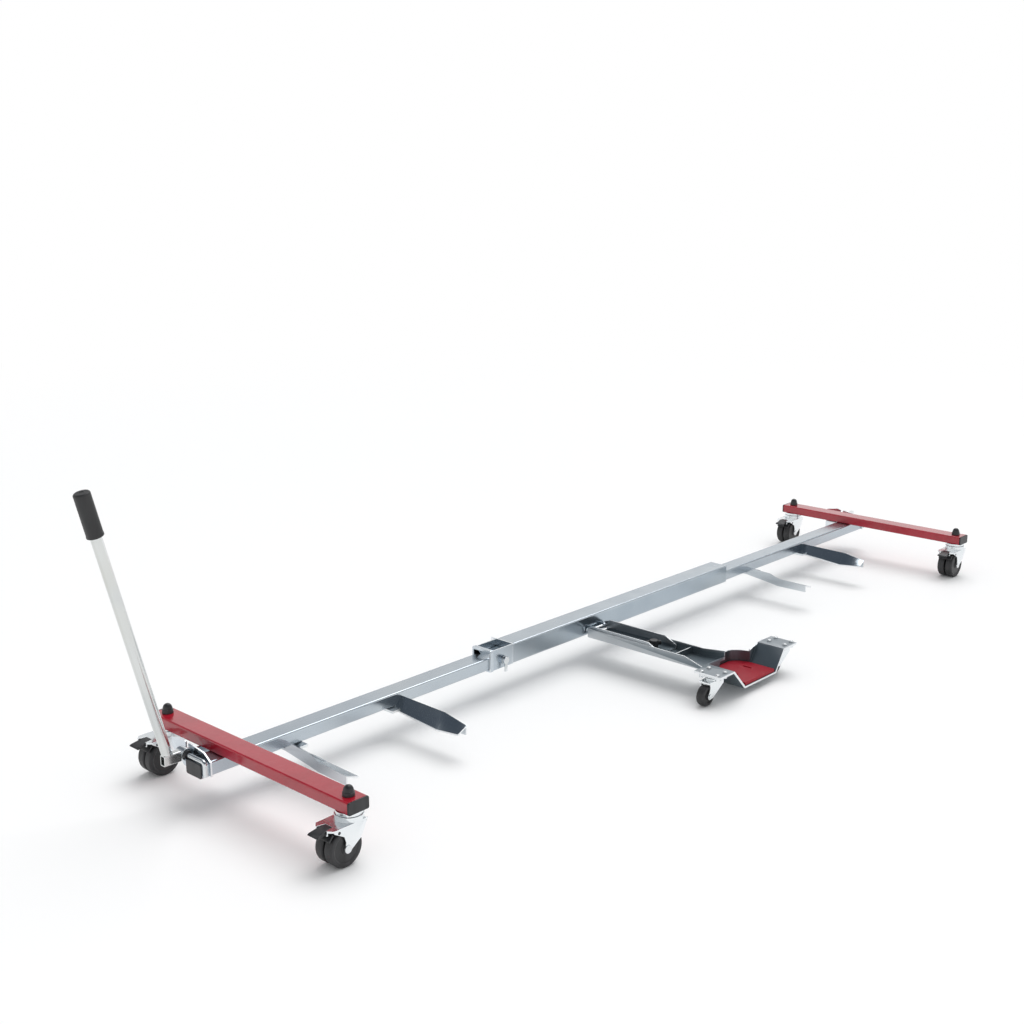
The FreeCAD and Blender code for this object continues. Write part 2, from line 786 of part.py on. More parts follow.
# Chocks of bent sheet and their bolts
def chock_section(y, x, inward, outset, ridge, base, run, drop):
    t = chock_sheet
    start = x - inward * outset
    offsets = [(0, base), (0, ridge), (run, ridge - drop)]
    offsets += [(run - 1, ridge - drop - t), (t, ridge - t - 1), (t, base)]
    points = [V(start + inward * step, y, z) for step, z in offsets]
    return Part.makePolygon(points + points[:1])


def chock(x, inward, stations):
    sections = [chock_section(y, x, inward, *values) for y, *values in stations]
    wing = Part.makeLoft(sections, True, True)
    foot_x = sorted((x, x + inward * foot_length))
    foot = box(foot_x, (foot_far, foot_near), (rail_bottom - foot_sheet, rail_bottom))
    whole = wing.fuse(foot)
    hole_x = x + inward * chock_bolt_x
    for y in chock_bolt_y:
        hole = rod_z(hole_x, y, bolt_radius + bolt_hole_gap, rail_bottom - foot_sheet - 1, rail_bottom + 1)
        whole = whole.cut(hole)
    return whole.removeSplitter()


def chock_bolt(x, y):
    under = rail_bottom - foot_sheet
    head = hexagon(x, y, bolt_head_flats, under - bolt_head_height, under)
    return head.fuse(rod_z(x, y, bolt_radius, under, bolt_top)).removeSplitter()


def make_chocks():
    for end, shift in (("front", 0.0), ("rear", -chock_pair_spacing)):
        first = front_chock_x + shift
        second = first - seat_length
        keep(f"{end}_leading_chock", chock(first, -1, leading_stations))
        keep(f"{end}_trailing_chock", chock(second, 1, trailing_stations))
        places = [(first - chock_bolt_x, y) for y in chock_bolt_y]
        places += [(second + chock_bolt_x, y) for y in chock_bolt_y]
        keep(f"{end}_chock_bolts", *[chock_bolt(x, y) for x, y in places])


# Side arm with its hinge pin, clamp bolt and knob
def side_arm():
    left = arm_x - arm_half_width
    right = arm_x + arm_half_width
    floor = box((left, right), (arm_floor_start, arm_end), (arm_floor, arm_floor + arm_wall))
    wall = [(hinge_y, hinge_z - hinge_ear_radius), (arm_floor_start, arm_floor), (arm_end, arm_floor)]
    wall += [(arm_end, arm_end_top), (arm_taper_start, arm_top), (arm_floor_start, arm_top)]
    wall += [(hinge_y, hinge_z + hinge_ear_radius)]
    whole = floor
    for low in (left, right - arm_wall):
        ear = rod((low, hinge_y, hinge_z), ALONG_X, hinge_ear_radius, arm_wall)
        whole = whole.fuse([prism_along_x(wall, low, low + arm_wall), ear])
    bore = rod((left - 1, hinge_y, hinge_z), ALONG_X, hinge_radius + running_gap, 2 * arm_half_width + 2)
    clamp_hole = rod_z(arm_x, knob_y, clamp_radius + running_gap, arm_floor - 1, arm_floor + arm_wall + 1)
    return whole.cut(bore).cut(clamp_hole).removeSplitter()


def hinge_pin():
    return rod((arm_x - arm_half_width, hinge_y, hinge_z), ALONG_X, hinge_radius, 2 * arm_half_width)


def clamp_bolt():
    head = rod_z(arm_x, knob_y, clamp_head_radius, clamp_head_bottom, clamp_head_top)
    return head.fuse(rod_z(arm_x, knob_y, clamp_radius, clamp_head_top, clamp_bolt_top)).removeSplitter()


def wing_knob():
    hub = rod_z(arm_x, knob_y, knob_hub_radius, knob_bottom, knob_top)
    half = wing_thickness / 2
    wing_z = (wing_bottom, knob_top - 2)
    wings = box((arm_x - wing_reach, arm_x + wing_reach), (knob_y - half, knob_y + half), wing_z)
    wings = soften(wings, ALONG_Y, wing_round)
    wings.rotate(V(arm_x, knob_y, 0), UP, wing_turn)
    bore = rod_z(arm_x, knob_y, clamp_radius + running_gap, knob_bottom - 1, clamp_bolt_top + 1)
    return hub.fuse(wings).cut(bore).removeSplitter()


def make_side_arm():
    keep("side_arm", side_arm())
    keep("arm_hinge_pin", hinge_pin())
    keep("clamp_bolt", clamp_bolt())
    keep("wing_knob", wing_knob())


# Side plate: channel on the arm, tray between two wings, pad
def plan_face(outline, z):
    """A level face with the given (X, Y) outline."""
    points = [V(x, y, z) for x, y in outline]
    return Part.Face(Part.makePolygon(points + points[:1]))


def channel():
    left = arm_x - channel_half_width
    right = arm_x + channel_half_width
    flare = left - channel_flare
    base = [(right, channel_start), (right, plate_inner), (flare, plate_inner), (left, flare_start)]
    floor = prism_along_z(base + [(left, channel_start)], channel_bottom, channel_bottom + channel_wall)
    slot_y = (knob_y - plate_travel - clamp_slot_width / 2, knob_y + clamp_slot_width / 2)
    slot_x = (arm_x - clamp_slot_width / 2, arm_x + clamp_slot_width / 2)
    floor = floor.cut(box(slot_x, slot_y, (channel_bottom - 1, channel_bottom + channel_wall + 1)))
    wall = [(channel_start, channel_bottom), (plate_inner, channel_bottom), (plate_inner, wing_top)]
    wall += [(channel_taper, channel_top), (channel_start, channel_top)]
    front_side = prism_along_x(wall, right - channel_wall, right)
    path = [(left, channel_start), (left, flare_start), (flare, plate_inner)]
    path += [(x + channel_wall, y) for x, y in path[::-1]]
    rear_side = prism_along_z(path, channel_bottom, channel_top)
    lip = box((left, right), (lip_y, lip_y + channel_wall), (channel_bottom, lip_top))
    end_lip = box((flare, right), (plate_inner - inner_wall, plate_inner), (channel_bottom, wing_top))
    return floor.fuse([front_side, rear_side, lip, end_lip])


def tray():
    upper = [(front_wing_front, wing_top), (front_wing_rear, wing_top), (tray_front, tray_top)]
    upper += [(tray_rear, tray_top), (rear_wing_front, wing_top), (rear_wing_rear, wing_top)]
    shifts = (0, bend_shift, bend_shift, -bend_shift, -bend_shift, 0)
    lower = [(x + shift, z - plate_sheet) for (x, z), shift in zip(upper, shifts)]
    sheet = prism_along_y(upper + lower[::-1], plate_inner, plate_outer)
    front_wall = [(front_wing_rear, channel_bottom), lower[2]]
    front_wall += [(tray_front, tray_top - plate_sheet), (tray_front, channel_bottom)]
    rise_x = rear_wing_front - flange_rise
    rear_wall = [(tray_rear, tray_top), lower[3], lower[4], (rise_x, wing_top - plate_sheet)]
    rear_wall += [(rise_x, wing_top), (rear_wing_front, flange_high), flange_middle, (tray_rear, flange_low)]
    start = plate_inner - inner_wall
    return sheet.fuse([prism_along_y(outline, start, plate_inner) for outline in (front_wall, rear_wall)])


def tray_outline(outer):
    """Plan of the tray floor out to a given Y, with a rounded corner at the inner rear."""
    corner = [(bay_corner_x + x, bay_inner + y) for x, y in bay_corner]
    corner += [(tray_rear, plate_inner), (tray_rear, outer), (tray_front, outer)]
    return [(tray_front, bay_inner)] + corner


def tray_bay():
    """The inner bay of the tray: its floor and the low wall round it."""
    under = tray_top - plate_sheet
    plan = plan_face(tray_outline(plate_inner + 1), under)
    wall = plan.makeOffset2D(inner_wall, 2).extrude(V(0, 0, bay_top - under))
    wall = wall.cut(plan.extrude(V(0, 0, bay_top - under)))
    inside = box((rear_wing_rear, arm_x), (0, plate_inner), (under, bay_top))
    front_x = (tray_front, tray_front + inner_wall)
    front = box(front_x, (bay_inner - inner_wall, plate_inner), (under, channel_bottom))
    return plan.extrude(V(0, 0, plate_sheet)).fuse([wall.common(inside), front])


def wing_bolt_places(centre):
    x, y = centre
    places = []
    for step_x in (-wing_bolt_spacing_x / 2, wing_bolt_spacing_x / 2):
        for step_y in (-wing_bolt_spacing_y / 2, wing_bolt_spacing_y / 2):
            places.append((x + step_x, y + step_y))
    return places


def drill_wing(solid, centre):
    for x, y in wing_bolt_places(centre):
        solid = solid.cut(rod_z(x, y, wing_bolt_radius + bolt_hole_gap, wing_top - 20, wing_top + 5))
    return solid


def tray_pad():
    pad = plan_face(tray_outline(plate_outer), tray_top).makeOffset2D(-pad_margin, 2)
    pad = pad.extrude(V(0, 0, pad_height))
    middle = (bay_inner + plate_outer) / 2
    slot_y = (middle - pad_slot_length / 2, middle + pad_slot_length / 2)
    for x in (tray_rear + pad_slot_inset, tray_front - pad_slot_inset):
        slot_x = (x - pad_slot_width / 2, x + pad_slot_width / 2)
        pad = pad.cut(box(slot_x, slot_y, (tray_top + pad_height / 2, tray_top + pad_height + 1)))
    return pad


def wing_bolt(x, y):
    under = wing_top - plate_sheet - small_plate_sheet
    shank = rod_z(x, y, wing_bolt_radius, under - wing_nut_height - 1, wing_top)
    head = rod_z(x, y, wing_bolt_head_radius, wing_top, wing_top + wing_bolt_head_height)
    rims = [edge for edge in head.Edges if edge.CenterOfMass.z > wing_top + wing_bolt_round]
    nut = hexagon(x, y, wing_nut_flats, under - wing_nut_height, under)
    return head.makeFillet(wing_bolt_round, rims).fuse([shank, nut]).removeSplitter()


def make_side_plate():
    plate = channel().fuse([tray(), tray_bay()])
    arm_room = (arm_x - arm_half_width - slide_gap, arm_x + arm_half_width + slide_gap)
    plate = plate.cut(box(arm_room, (channel_start - 1, lip_y), (channel_bottom + channel_wall, arm_top)))
    for centre in small_centres:
        plate = drill_wing(plate, centre)
    keep("side_plate", plate.removeSplitter())
    keep("tray_pad", tray_pad())
    keep("wing_bolts", *[wing_bolt(x, y) for centre in small_centres for x, y in wing_bolt_places(centre)])


# Small casters
def small_caster_plate(centre):
    x, y = centre
    top = wing_top - plate_sheet
    plate_x = (x - small_plate_x / 2, x + small_plate_x / 2)
    plate_y = (y - small_plate_y / 2, y + small_plate_y / 2)
    plate = soften(box(plate_x, plate_y, (top - small_plate_sheet, top)), UP, small_plate_corner)
    race = rod_z(x, y, small_race_radius, small_race_bottom, top - small_plate_sheet)
    pin = rod_z(x, y, small_pin_radius, small_rivet_bottom, small_race_bottom)
    rivet = rod_z(x, y, small_rivet_radius, small_rivet_bottom, small_crown_bottom - rivet_gap)
    return drill_wing(plate.fuse([race, pin, rivet]), centre).removeSplitter()


def small_fork():
    crown = rod_z(0, 0, small_crown_radius, small_crown_bottom, small_crown_top)
    across = (-small_leg_outer, small_leg_outer)
    shoulder_z = (small_crown_bottom, small_crown_bottom + small_shoulder_sheet)
    shoulder = box((small_shoulder_rear, small_shoulder_front), across, shoulder_z)
    fork = crown.fuse(shoulder)
    for side in (-1, 1):
        low, high = sorted((side * small_leg_inner, side * small_leg_outer))
        tip = rod_y(small_trail, small_wheel_radius, small_tip_radius, low, high)
        fork = fork.fuse([prism_along_y(small_leg_outline, low, high), tip])
    fork = fork.cut(rod_z(0, 0, small_pin_radius + running_gap, 0, wing_top))
    reach = small_axle_reach
    return fork.cut(rod_y(small_trail, small_wheel_radius, small_axle_radius, -reach, reach)).removeSplitter()


def small_axle():
    bar = rod_y(small_trail, small_wheel_radius, small_axle_radius, -small_axle_reach, small_axle_reach)
    heads = []
    for low, high in ((-small_axle_reach, -small_leg_outer), (small_leg_outer, small_axle_reach)):
        heads.append(rod_y(small_trail, small_wheel_radius, small_axle_radius + small_axle_head, low, high))
    return bar.fuse(heads).removeSplitter()


def small_wheel():
    wheel = rod_y(small_trail, small_wheel_radius, small_wheel_radius, -small_wheel_half, small_wheel_half)
    rims = [edge for edge in wheel.Edges if isinstance(edge.Curve, Part.Circle)]
    wheel = wheel.makeFillet(small_wheel_edge, rims)
    bore_radius = small_axle_radius + running_gap
    bore = rod_y(small_trail, small_wheel_radius, bore_radius, -small_axle_reach, small_axle_reach)
    return wheel.cut(bore)


def make_small_casters():
    keep("small_caster_plates", *[small_caster_plate(centre) for centre in small_centres])
    for name, centre in zip(small_names, small_centres):
        caster = {"fork": [small_fork(), small_axle()], "wheel": [small_wheel()]}
        for piece, solids in caster.items():
            placed = [solid.translated(V(centre[0], centre[1], 0)) for solid in solids]
            keep(f"small_{name}_{piece}", *placed)


def main():
    make_beams()
    make_main_casters()
    make_rails()
    make_lift_units()
    keep("lever", lever())
    keep("lever_grip", grip())
    make_chocks()
    make_side_arm()
    make_side_plate()
    make_small_casters()
    everything = Part.makeCompound([solid for solids in pieces.values() for solid in solids])
    middle = everything.optimalBoundingBox(False, False).Center
    print("origin moved to", round(middle.x, 3), round(middle.y, 3), "pieces", len(pieces))
    for name, solids in pieces.items():
        shape = solids[0] if len(solids) == 1 else Part.makeCompound(solids)
        shape = shape.translated(V(-middle.x, -middle.y, 0))
        print(name, shape.isValid(), len(shape.Solids), round(shape.Volume))
        shape.exportStep(f"parts/{name}.step")


main()
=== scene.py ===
"""Looks of a rolling dolly: a telescoping zinc rail on two red caster beams.

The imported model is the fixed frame. Each sub-assembly is a class that dresses its own nodes: it gives
them softened edges, moulded or turned detail and a finish, and lets them ride on their bodies.
"""

from __future__ import annotations

import json
import logging
import math
from dataclasses import dataclass
from enum import Enum
from typing import Any, Sequence

import bmesh
import bpy
from mathutils import Matrix, Vector

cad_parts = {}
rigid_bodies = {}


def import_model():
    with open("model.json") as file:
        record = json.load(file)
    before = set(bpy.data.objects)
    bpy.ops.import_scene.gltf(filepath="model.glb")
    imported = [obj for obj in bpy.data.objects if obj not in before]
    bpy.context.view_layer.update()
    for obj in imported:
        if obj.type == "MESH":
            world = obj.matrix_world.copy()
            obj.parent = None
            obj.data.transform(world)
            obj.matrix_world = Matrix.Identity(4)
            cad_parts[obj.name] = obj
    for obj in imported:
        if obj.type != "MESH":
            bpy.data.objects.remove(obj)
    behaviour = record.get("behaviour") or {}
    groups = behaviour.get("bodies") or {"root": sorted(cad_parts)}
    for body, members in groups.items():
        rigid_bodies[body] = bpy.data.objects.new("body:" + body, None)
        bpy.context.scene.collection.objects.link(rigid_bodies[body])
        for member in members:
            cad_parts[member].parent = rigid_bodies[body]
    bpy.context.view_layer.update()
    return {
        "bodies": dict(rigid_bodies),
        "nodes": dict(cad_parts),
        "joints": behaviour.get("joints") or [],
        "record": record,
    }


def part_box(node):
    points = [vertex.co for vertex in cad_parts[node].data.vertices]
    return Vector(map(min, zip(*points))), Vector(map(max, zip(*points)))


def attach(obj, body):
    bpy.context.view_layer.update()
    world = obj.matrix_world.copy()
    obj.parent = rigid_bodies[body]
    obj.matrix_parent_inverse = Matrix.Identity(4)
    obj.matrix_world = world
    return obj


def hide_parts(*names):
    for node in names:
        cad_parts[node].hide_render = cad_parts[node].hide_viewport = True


LOG = logging.getLogger("dolly")
MM = 0.001
QUARTER_TURN = math.pi / 2
Colour = tuple[float, float, float]
Point = tuple[float, float, float]
Band = tuple[float, float]
ScaleAndDetail = tuple[float, float]
Pairs = tuple[tuple[float, float], ...]
Section = list[tuple[float, float]]
WHITE: Colour = (1.0, 1.0, 1.0)


class End(Enum):
    """The two ends of the dolly."""

    FRONT = "front"
    REAR = "rear"


class Side(Enum):
    """The two sides of the dolly."""

    LEFT = "left"
    RIGHT = "right"


class ChockPlace(Enum):
    """The two chocks of a pair, in the order of travel."""

    LEADING = "leading"
    TRAILING = "trailing"


class Grain(Enum):
    """Direction of the drawing lines on a plated piece, as pattern repeats per metre along X, Y and Z."""

    ALONG_X = (5.0, 260.0, 260.0)
    ALONG_Y = (260.0, 5.0, 260.0)
    ALONG_Z = (260.0, 260.0, 5.0)
    EVEN = (120.0, 120.0, 120.0)


@dataclass(frozen=True)
class Mottle:
    """Soft patches: noise with features per metre and octaves, and the band of it that makes the patches."""

    scale: float
    detail: float
    band: Band


class Value:
    """A socket of a shader graph that arithmetic can be written on."""

    def __init__(self, graph: "Graph", socket: Any) -> None:
        """Keep the socket and the graph that new Math nodes go into."""
        self.graph = graph
        self.socket = socket

    def _math(self, operation: str, left: Any, right: Any) -> "Value":
        """Add one Math node for an operator."""
        return self.graph.node("ShaderNodeMath", {"operation": operation}, {0: left, 1: right})

    def __add__(self, other: Any) -> "Value":
        """Sum."""
        return self._math("ADD", self, other)

    def __radd__(self, other: Any) -> "Value":
        """Sum with a number on the left."""
        return self._math("ADD", other, self)

    def __sub__(self, other: Any) -> "Value":
        """Difference."""
        return self._math("SUBTRACT", self, other)

    def __rsub__(self, other: Any) -> "Value":
        """Difference with a number on the left."""
        return self._math("SUBTRACT", other, self)

    def __mul__(self, other: Any) -> "Value":
        """Product."""
        return self._math("MULTIPLY", self, other)

    def __rmul__(self, other: Any) -> "Value":
        """Product with a number on the left."""
        return self._math("MULTIPLY", other, self)


class Graph:
    """Builds the nodes of one material or world."""

    # Numbers of the Mix node's colour sockets, whose names are not unique
    mix_factor, mix_first, mix_second, mix_result = 0, 6, 7, 2
    noise_roughness = 0.55
    up_band: Band = (0.2, 0.95)

    def __init__(self, tree: bpy.types.NodeTree) -> None:
        """Start from an empty node tree."""
        self.tree = tree
        tree.nodes.clear()

    def node(self, kind: str, settings: dict[str, Any] | None = None,
             sockets: dict[Any, Any] | None = None, output: int | str = 0) -> Value:
        """Add a node.

        Args:
            kind: Blender's name of the node type.
            settings: Attributes to set first.
            sockets: Numbers, colours or Values for its inputs, by name or number.
            output: Which output the returned Value stands for, by name or number.

        Returns:
            The chosen output.
        """
        made = self.tree.nodes.new(kind)
        for name, value in (settings or {}).items():
            setattr(made, name, value)
        for key, value in (sockets or {}).items():
            if isinstance(value, Value):
                self.tree.links.new(value.socket, made.inputs[key])
            else:
                made.inputs[key].default_value = value
        return Value(self, made.outputs[output] if len(made.outputs) else None)

    def place(self) -> Value:
        """Object coordinates, which are the row frame in metres."""
        return self.node("ShaderNodeTexCoord", output="Object")

    def stretched(self, scale: Sequence[float]) -> Value:
        """Object coordinates multiplied by a scale along each axis."""
        return self.node("ShaderNodeMapping", None, {"Vector": self.place(), "Scale": scale})

    def noise(self, scale: float, detail: float, vector: Value | None = None) -> Value:
        """Noise from 0 to 1.

        Args:
            scale: Features per metre, or per unit of the given vector.
            detail: Octaves.
            vector: Coordinates, or None for Object coordinates.

        Returns:
            The noise value.
        """
        sockets = {"Vector": vector or self.place(), "Scale": scale, "Detail": detail,
                   "Roughness": self.noise_roughness}
        return self.node("ShaderNodeTexNoise", None, sockets)

    def step(self, value: Value, band: Band) -> Value:
        """Smooth 0 to 1 step of a value across a band."""
        sockets = {"Value": value, "From Min": band[0], "From Max": band[1]}
        return self.node("ShaderNodeMapRange", {"interpolation_type": "SMOOTHSTEP"}, sockets)

    def patches(self, mottle: Mottle) -> Value:
        """Soft patches from 0 to 1."""
        return self.step(self.noise(mottle.scale, mottle.detail), mottle.band)

    def mix(self, factor: Any, first: Any, second: Any) -> Value:
        """Mix two colours.

        Args:
            factor: Share of the second colour.
            first: Colour or Value.
            second: Colour or Value.

        Returns:
            The mixed colour.
        """
        pair = [c if isinstance(c, Value) else (*c, 1.0) for c in (first, second)]
        sockets = {self.mix_factor: factor, self.mix_first: pair[0], self.mix_second: pair[1]}
        return self.node("ShaderNodeMix", {"data_type": "RGBA"}, sockets, self.mix_result)

    def bump(self, height: Value, strength: float, depth: float) -> Value:
        """Surface normal disturbed by a height from 0 to 1 of the given strength and real depth in metres."""
        sockets = {"Height": height, "Strength": strength, "Distance": depth}
        return self.node("ShaderNodeBump", None, sockets)

    def edges(self, band: Band) -> Value:
        """Mask of outer edges and corners."""
        return self.step(self.node("ShaderNodeNewGeometry", output="Pointiness"), band)

    def facing_up(self) -> Value:
        """How far the surface faces upwards, from 0 to 1."""
        normal = self.node("ShaderNodeNewGeometry", output="Normal")
        return self.step(self.node("ShaderNodeSeparateXYZ", None, {0: normal}, "Z"), self.up_band)

    def surface(self, sockets: dict[str, Any]) -> None:
        """Finish with a Principled surface that has the given inputs."""
        shader = self.node("ShaderNodeBsdfPrincipled", None, sockets)
        self.node("ShaderNodeOutputMaterial", None, {"Surface": shader})


def fresh_material(name: str) -> tuple[bpy.types.Material, Graph]:
    """A new material with an empty graph.

    Args:
        name: Name of the finish.

    Returns:
        The material and its graph.
    """
    material = bpy.data.materials.new(name)
    material.use_nodes = True
    return material, Graph(material.node_tree)


@dataclass(frozen=True)
class ZincPlating:
    """Bright bluish zinc plating, even in tone, with faint drawing lines and a painted highlight along its
    edges.
    """

    name: str
    grain: Grain = Grain.EVEN
    # The default bright and cloudy tones are darkened as painted shade of a motorcycle above the rails;
    # finishes that give their own tones replace them.
    bright: Colour = (0.42, 0.48, 0.53)
    cloudy: Colour = (0.37, 0.43, 0.485)
    warm: Colour = (0.54, 0.52, 0.45)
    # edge: colour of the painted highlight mixed in along edges and corners
    edge: Colour = (0.92, 0.94, 0.96)
    warmth: float = 0.14
    roughness: float = 0.24
    metallic: float = 1.0
    clouds: Mottle = Mottle(8.0, 2.0, (0.3, 0.7))
    rub: Mottle = Mottle(24.0, 4.0, (0.56, 0.78))
    stain: Mottle = Mottle(4.5, 2.0, (0.48, 0.74))
    edge_band: Band = (0.515, 0.60)
    edge_share: float = 0.7
    line_detail: float = 3.0
    line_bump: float = 0.16
    line_depth: float = 0.05 * MM
    cloud_rough: float = 0.03
    line_rough: float = 0.07
    rub_rough: float = 0.05
    rough_spread: float = 0.06

    def material(self) -> bpy.types.Material:
        """Make the material.

        Returns:
            The material.
        """
        made, g = fresh_material(self.name)
        clouds = g.patches(self.clouds)
        lines = g.noise(1.0, self.line_detail, g.stretched(self.grain.value))
        colour = g.mix(clouds, self.bright, self.cloudy)
        colour = g.mix(g.patches(self.stain) * self.warmth, colour, self.warm)
        # Painted highlight: edges and corners lightened towards the edge colour
        colour = g.mix(g.edges(self.edge_band) * self.edge_share, colour, self.edge)
        rough = clouds * self.cloud_rough + lines * self.line_rough + g.patches(self.rub) * self.rub_rough
        g.surface({"Base Color": colour, "Metallic": self.metallic,
                   "Roughness": rough + (self.roughness - self.rough_spread),
                   "Normal": g.bump(lines, self.line_bump, self.line_depth)})
        return made


@dataclass(frozen=True)
class RedPaint:
    """Glossy crimson stove enamel with a fine orange peel and slightly rubbed edges."""

    name: str = "crimson_enamel"
    body: Colour = (0.42, 0.0025, 0.02)
    deep: Colour = (0.36, 0.002, 0.015)
    worn: Colour = (0.60, 0.06, 0.08)
    dust: Colour = (0.60, 0.42, 0.41)
    tone: Mottle = Mottle(11.0, 3.0, (0.3, 0.7))
    scuff: Mottle = Mottle(1.0, 5.0, (0.74, 0.84))
    scuff_stretch: Point = (190.0, 24.0, 190.0)
    chips: Mottle = Mottle(90.0, 4.0, (0.4, 0.62))
    settling: Mottle = Mottle(40.0, 5.0, (0.45, 0.75))
    edge_band: Band = (0.525, 0.62)
    edge_share: float = 0.5
    dust_share: float = 0.03
    roughness: float = 0.20
    tone_rough: float = 0.04
    scuff_rough: float = 0.10
    dust_rough: float = 0.05
    gloss: float = 0.5
    coat: float = 0.65
    coat_scuffed: float = 0.2
    coat_rough: float = 0.05
    peel: ScaleAndDetail = (420.0, 2.0)
    fine_peel: ScaleAndDetail = (2600.0, 1.0)
    peel_share: float = 0.85
    peel_bump: float = 0.10
    peel_depth: float = 0.2 * MM

    def material(self) -> bpy.types.Material:
        """Make the material.

        Returns:
            The material.
        """
        made, g = fresh_material(self.name)
        tone = g.noise(self.tone.scale, self.tone.detail)
        stretched = g.stretched(self.scuff_stretch)
        scuff = g.step(g.noise(self.scuff.scale, self.scuff.detail, stretched), self.scuff.band)
        settled = g.facing_up() * g.patches(self.settling)
        colour = g.mix(g.step(tone, self.tone.band), self.body, self.deep)
        chipped = g.edges(self.edge_band) * g.patches(self.chips)
        colour = g.mix(chipped * self.edge_share, colour, self.worn)
        colour = g.mix(settled * self.dust_share + scuff * self.dust_share, colour, self.dust)
        rough = tone * self.tone_rough + scuff * self.scuff_rough + settled * self.dust_rough + self.roughness
        peel = g.noise(*self.peel) * self.peel_share + g.noise(*self.fine_peel) * (1.0 - self.peel_share)
        g.surface({"Base Color": colour, "Roughness": rough, "Specular IOR Level": self.gloss,
                   "Coat Weight": self.coat - scuff * self.coat_scuffed, "Coat Roughness": self.coat_rough,
                   "Normal": g.bump(peel, self.peel_bump, self.peel_depth)})
        return made


@dataclass(frozen=True)
class Moulding:
    """Satin moulded plastic or rubber with a fine spark-eroded grain and rubbed edges."""

    name: str
    body: Colour = (0.016, 0.016, 0.018)
    rubbed: Colour = (0.075, 0.075, 0.08)
    dust: Colour = (0.17, 0.165, 0.155)
    roughness: float = 0.42
    grain: float = 1500.0
    grain_detail: float = 2.0
    grain_bump: float = 0.28
    grain_depth: float = 0.12 * MM
    dusting: float = 0.12
    dust_anywhere: float = 0.3
    rubbing: float = 0.5
    gloss: float = 0.45
    flow: Mottle = Mottle(1.0, 3.0, (0.3, 0.75))
    flow_stretch: Point = (60.0, 60.0, 9.0)
    flow_share: float = 0.35
    scuff: Mottle = Mottle(55.0, 6.0, (0.54, 0.74))
    wear: Mottle = Mottle(130.0, 4.0, (0.35, 0.65))
    edge_band: Band = (0.515, 0.60)
    grain_rough: float = 0.12
    scuff_rough: float = 0.14
    flow_rough: float = 0.05
    rough_spread: float = 0.1

    def material(self) -> bpy.types.Material:
        """Make the material.

        Returns:
            The material.
        """
        made, g = fresh_material(self.name)
        grain = g.noise(self.grain, self.grain_detail)
        flow = g.noise(self.flow.scale, self.flow.detail, g.stretched(self.flow_stretch))
        scuff = g.patches(self.scuff)
        colour = g.mix(g.step(flow, self.flow.band) * self.flow_share, self.body, self.rubbed)
        worn = g.edges(self.edge_band) * g.patches(self.wear)
        colour = g.mix(worn * self.rubbing, colour, self.rubbed)
        settled = (g.facing_up() * (1.0 - self.dust_anywhere) + self.dust_anywhere) * scuff
        colour = g.mix(settled * self.dusting, colour, self.dust)
        rough = grain * self.grain_rough + scuff * self.scuff_rough + flow * self.flow_rough
        g.surface({"Base Color": colour, "Roughness": rough + (self.roughness - self.rough_spread),
                   "Specular IOR Level": self.gloss,
                   "Normal": g.bump(grain, self.grain_bump, self.grain_depth)})
        return made


@dataclass(frozen=True)
class FloorPaper:
    """Seamless white studio paper that fades into the background."""

    name: str = "studio_paper"
    white: Colour = (0.99, 0.99, 0.99)
    fibre: ScaleAndDetail = (900.0, 2.0)
    fibre_shade: float = 0.992
    roughness: float = 0.55
    fibre_rough: float = 0.1
    gloss: float = 0.18
    fade: Band = (2.6, 6.5)

    def material(self) -> bpy.types.Material:
        """Make the material.

        Returns:
            The material.
        """
        made, g = fresh_material(self.name)
        fibre = g.noise(*self.fibre)
        colour = g.mix(fibre, self.white, tuple(c * self.fibre_shade for c in self.white))
        shader = g.node("ShaderNodeBsdfPrincipled", None, {
            "Base Color": colour, "Roughness": self.roughness + fibre * self.fibre_rough,
            "Specular IOR Level": self.gloss})
        away = g.node("ShaderNodeVectorMath", {"operation": "LENGTH"}, {0: g.place()}, "Value")
        glow = g.node("ShaderNodeEmission", None, {"Color": (*WHITE, 1.0), "Strength": 1.0})
        mixed = g.node("ShaderNodeMixShader", None, {0: g.step(away, self.fade), 1: shader, 2: glow})
        g.node("ShaderNodeOutputMaterial", None, {"Surface": mixed})
        return made


# Painted shade: the rail zinc keeps the darkened default tones, which stand for the shade of a motorcycle
# above the rails
TUBE_X_PAINTED_SHADE = ZincPlating("zinc_on_drawn_tube_painted_shade", Grain.ALONG_X)
TUBE_LEVER = ZincPlating("zinc_on_lever_tube", Grain.ALONG_Z, bright=(0.66, 0.675, 0.66),
                         cloudy=(0.59, 0.61, 0.605), warm=(0.70, 0.67, 0.55), warmth=0.45, roughness=0.2)
BRACKET_SHEET = ZincPlating("zinc_on_bracket_sheet", Grain.ALONG_Y, bright=(0.56, 0.62, 0.67),
                            cloudy=(0.49, 0.55, 0.61), roughness=0.25)
# Painted shade: the chock zinc is darkened to stand for the shadow and dark reflections of a motorcycle
# standing on the chocks
CHOCK_SHEET_PAINTED_SHADE = ZincPlating("zinc_on_chock_sheet_painted_shade", Grain.ALONG_Y, bright=(0.44, 0.485, 0.52),
                          cloudy=(0.38, 0.43, 0.47), roughness=0.22)
# Painted shade: the arm and tray zinc is darkened to stand for the shadow and dark reflections of a
# motorcycle standing above it
TRAY_SHEET_PAINTED_SHADE = ZincPlating("zinc_on_tray_sheet_painted_shade", Grain.ALONG_Y, bright=(0.165, 0.20, 0.228),
                         cloudy=(0.14, 0.175, 0.20), warmth=0.05, roughness=0.36, metallic=0.82)
